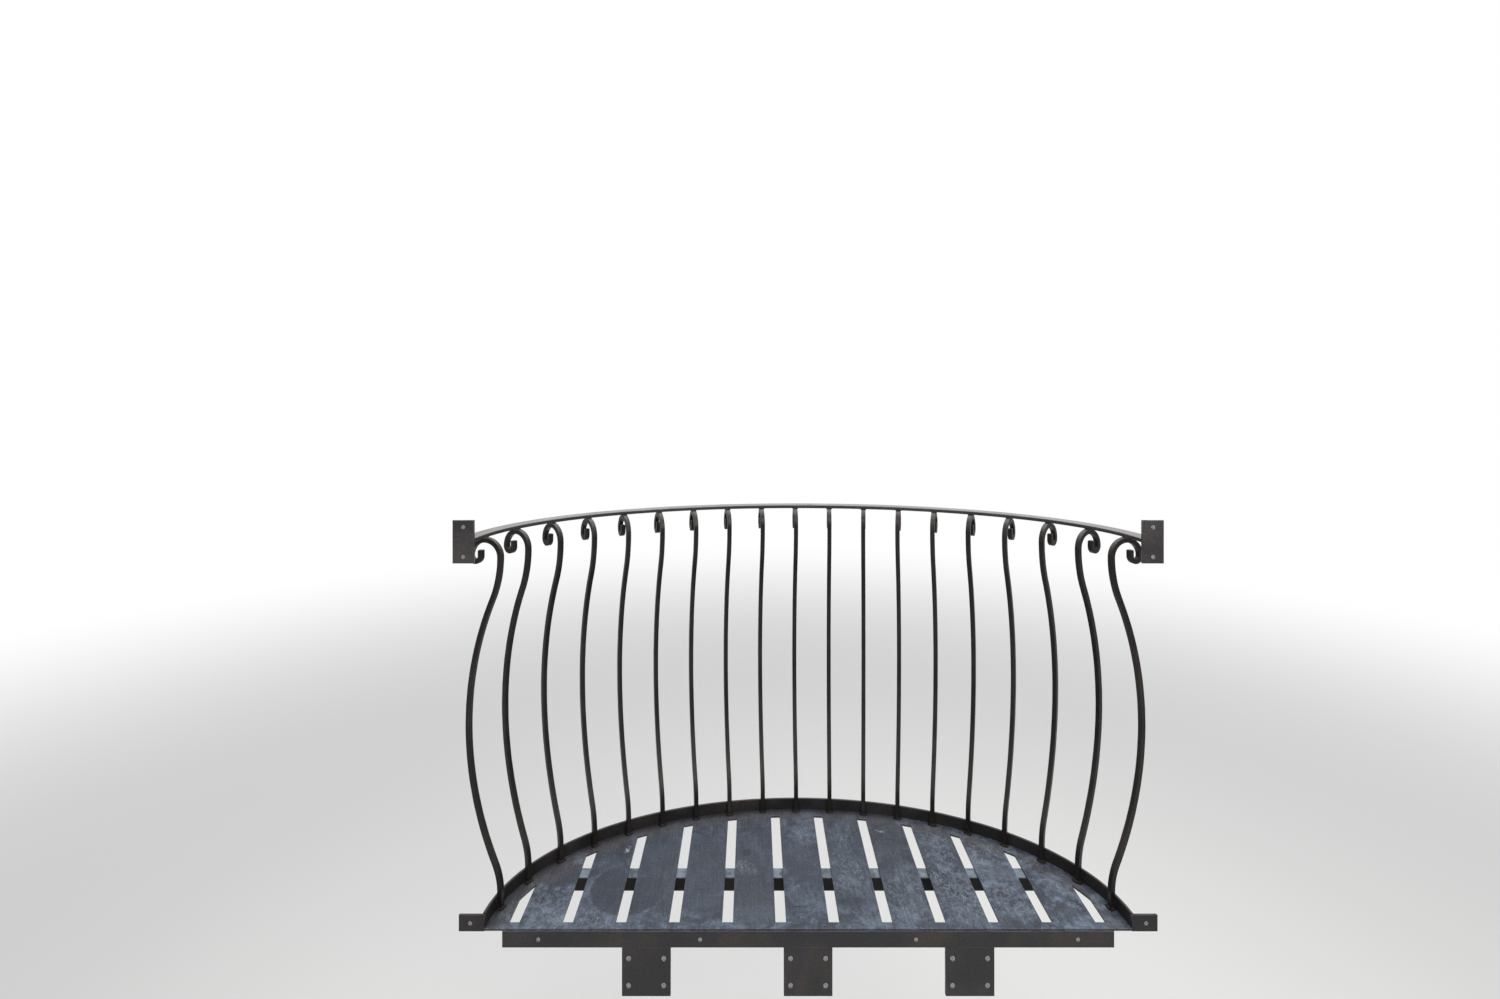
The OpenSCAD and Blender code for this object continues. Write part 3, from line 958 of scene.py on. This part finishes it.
def wall_fixings():
    """The drilled wall pieces: node, paint, slot, hole, bolt and the holes' places as (x, z)."""
    def middle(node):
        low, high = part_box(node)
        return (low.x + high.x) / 2, (low.z + high.z) / 2

    sides = (-1, 1)
    holes = [(side * gap / 2, 0.0) for gap in LEDGER_HOLE_GAPS for side in sides]
    fixings = [("wall_ledger", FRAME_PAINT, "rim_paint", SMALL_HOLE, SMALL_BOLT, holes)]
    for side, word in ENDS:
        node = "rim_lug_" + word
        holes = [(side * LUG_HOLE_X, middle(node)[1])]
        fixings.append((node, RIM_PAINT, "rim_paint", SMALL_HOLE, SMALL_BOLT, holes))
        node = "rail_flange_" + word
        x, z = middle(node)
        holes = [(x, z + up * RAIL_HOLE_GAP / 2) for up in sides]
        fixings.append((node, RAIL_PAINT, "rail_paint", SMALL_HOLE, SMALL_BOLT, holes))
    for word in ARMS:
        node = "arm_plate_" + word
        x, z = middle(node)
        holes = [(x + sx * ARM_HOLE_GAPS[0] / 2, z + sz * ARM_HOLE_GAPS[1] / 2)
                 for sx in sides for sz in sides]
        fixings.append((node, FRAME_PAINT, "arm_paint", LARGE_HOLE, LARGE_BOLT, holes))
    return fixings


def wall_piece(node, material, slot, hole_d, holes):
    """A flat piece on the wall with bolt holes."""
    low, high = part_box(node)
    outlines = [rectangle(low.x, low.z, high.x, high.z)]
    # Each circle starts at another angle, so that no flat triangle is filled in between three holes
    angle_step = 0.03
    outlines += [circle(x, z, hole_d / 2, angle_step * i) for i, (x, z) in enumerate(holes)]
    obj = outlined_plate(node + "_plate", outlines, high.y - low.y, WALL_ARRIS)
    stand_on_wall(obj, (high.y + low.y) / 2)
    dress(obj, material, slot, node)


def bolt(body, x, z, y, shank_d, hex_w, seed):
    """A hex bolt with its washer, on a wall piece whose front is at y."""
    turn = random.Random(seed).random() * FULL_TURN
    washer_r, washer_t = hex_w * 0.66, 0.15 * hex_w
    washer_arris = 0.0004
    shank_start = 0.0004
    head_h = 0.40 * hex_w
    flat = hex_w / 2
    crown_r = 0.95 * flat
    turns = [FULL_TURN * i / BOLT_SIDES for i in range(BOLT_SIDES)]

    def ring(r, depth):
        return [Vector((x + r * math.cos(turn + a), depth, z + r * math.sin(turn + a)))
                for a in turns]

    body.rings([ring(washer_r - washer_arris, y), ring(washer_r, y + washer_arris),
                ring(washer_r, y + washer_t - washer_arris),
                ring(washer_r - washer_arris, y + washer_t)])
    # The head: a hexagon whose corners are cut down to the round of its crown
    start = y + washer_t
    sector = FULL_TURN / 6
    low, high, top = [], [], []
    for a in turns:
        r = flat / math.cos(a % sector - sector / 2)
        away = Vector((math.cos(turn + a), 0, math.sin(turn + a)))
        at = Vector((x, 0, z))
        drop = (r - crown_r) * 0.5
        low.append(at + r * away + Vector((0, start, 0)))
        high.append(at + r * away + Vector((0, start + head_h - drop, 0)))
        top.append(at + crown_r * away + Vector((0, start + head_h, 0)))
    body.rings([low, high, top])
    body.rings([ring(shank_d / 2, shank_start), ring(shank_d / 2, y + washer_t / 2)])


def make_bolts(fixings):
    body = Builder()
    seeds = itertools.count(BOLT_SEED)
    for node, _, _, _, (shank_d, hex_w), holes in fixings:
        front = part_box(node)[1].y
        for x, z in holes:
            bolt(body, x, z, front, shank_d, hex_w, next(seeds))
    obj = body.object("wall_bolts")
    for p in obj.data.polygons:
        p.use_smooth = False
    dress(obj, ZINC, "rim_paint")


def make_pieces():
    angles = bar_angles()
    for i, (name, a) in enumerate(zip(BARS, angles)):
        make_bar(name, a, SEED + i)
    rim = plan_sweep("rim_band", "rim_lug_left", RIM_T / 2, RIM_T, RIM_ARRIS, RIM_UNEVEN)
    dress(rim, RIM_PAINT, "rim_paint", "rim_band")
    rail = plan_sweep("top_rail", "rail_flange_left", RAIL_MID_OUT, RAIL_W, RAIL_ARRIS, RAIL_UNEVEN)
    dress(rail, RAIL_PAINT, "rail_paint", "top_rail")
    make_deck()
    fixings = wall_fixings()
    for node, material, slot, hole_d, _, holes in fixings:
        wall_piece(node, material, slot, hole_d, holes)
    tube("cross_bearer", ("bearer_cap_left", "bearer_cap_right"), BEARER_PAINT, "bearer_paint")
    for word in ARMS:
        tube("arm_" + word, ("arm_cap_" + word,), FRAME_PAINT, "arm_paint")
    make_bar_welds(angles)
    make_frame_welds()
    make_bolts(fixings)


# Stage, light and camera

def make_floor():
    """A pale plain floor that keeps the shadow and turns white far away."""
    z, half = -1.0, 60.0
    corners = [(x, y, z) for x, y in rectangle(-half, -half, half, half)]
    floor = faces_object("floor", corners, [(0, 1, 2, 3)])
    mat, tree, shader, place = new_material("floor")
    fill(tree, shader, {"Base Color": FLOOR_PALE, "Roughness": 0.9, "Specular IOR Level": 0.1})
    glow = add(tree, "Emission", {"Color": WHITE, "Strength": 1.0})
    away = length_of(tree, mapped(tree, place, Scale=(1, 1, 0)))
    seen = add(tree, "LightPath").outputs["Is Camera Ray"]
    far = product(tree, spread(tree, away, 2.5, 9.0), seen)
    mix = add(tree, "MixShader", {0: far, 1: shader.outputs[0], 2: glow.outputs[0]})
    out = next(n for n in tree.nodes if n.type == "OUTPUT_MATERIAL")
    tree.links.new(mix.outputs[0], out.inputs[0])
    floor.data.materials.append(mat)


def make_world():
    """White to the camera and in reflections, and a soft light on everything else."""
    world = bpy.data.worlds.new("studio")
    world.use_nodes = True
    tree = world.node_tree
    tree.nodes.clear()
    path = add(tree, "LightPath").outputs
    seen = calc(tree, "MAXIMUM", path["Is Camera Ray"], path["Is Glossy Ray"])
    seen = calc(tree, "MAXIMUM", seen, path["Is Transmission Ray"])
    soft = add(tree, "Background", {"Color": SOFT_LIGHT, "Strength": 0.46})
    white = add(tree, "Background", {"Color": WHITE, "Strength": 1.0})
    mix = add(tree, "MixShader", {0: seen, 1: soft.outputs[0], 2: white.outputs[0]})
    add(tree, "OutputWorld", {0: mix.outputs[0]})
    bpy.context.scene.world = world


def area_light(name, place, target, size, power, colour, spread_angle=180, shines=True):
    data = bpy.data.lights.new(name, "AREA")
    data.shape = "RECTANGLE"
    data.size, data.size_y = size
    data.energy = power
    data.color = colour
    data.spread = math.radians(spread_angle)
    obj = bpy.data.objects.new(name, data)
    obj.location = place
    obj.rotation_euler = (Vector(target) - Vector(place)).to_track_quat("-Z", "Y").to_euler()
    obj.visible_camera = False
    obj.visible_glossy = shines
    bpy.context.scene.collection.objects.link(obj)


def make_lights():
    centre = (0, 0.25, 0.4)
    area_light("sky_panel", (0.3, 1.6, 3.4), centre, (3.6, 2.4), 72, (0.98, 0.99, 1.0))
    area_light("front_panel", (0.5, -2.1, 3.0), centre, (2.4, 1.2), 34, (1.0, 0.97, 0.94))
    area_light("door_panel", (-0.85, -5.5, 0.48), centre, (0.9, 2.25), 14, (1.0, 0.97, 0.93),
               spread_angle=70, shines=False)
    area_light("room_panel", (1.7, -3.2, 2.3), (0, 0.4, 0.8), (1.6, 1.4), 34, (1.0, 0.92, 0.86))


def make_camera():
    """The photo's camera, from its vanishing point and its focal length in pixels."""
    photo_w, photo_h = 1500.0, 999.0
    vanish_x, vanish_y, focal = 752.9, 391.3, 700.0
    eye_x, eye_y, eye_height = -0.130, -1.646, 1.264
    data = bpy.data.cameras.new("camera")
    data.sensor_width = 36.0
    data.lens = focal / photo_w * data.sensor_width
    data.shift_x = -(vanish_x - photo_w / 2) / photo_w
    data.shift_y = -(photo_h / 2 - vanish_y) / photo_w
    cam = bpy.data.objects.new("camera", data)
    bpy.context.scene.collection.objects.link(cam)
    cam.location = (eye_x, eye_y, DECK_Z + eye_height)
    cam.rotation_euler = (QUARTER, 0, 0)
    bpy.context.scene.camera = cam


make_camera()
make_pieces()
make_floor()
make_world()
make_lights()
bpy.context.scene.view_settings.view_transform = "Standard"
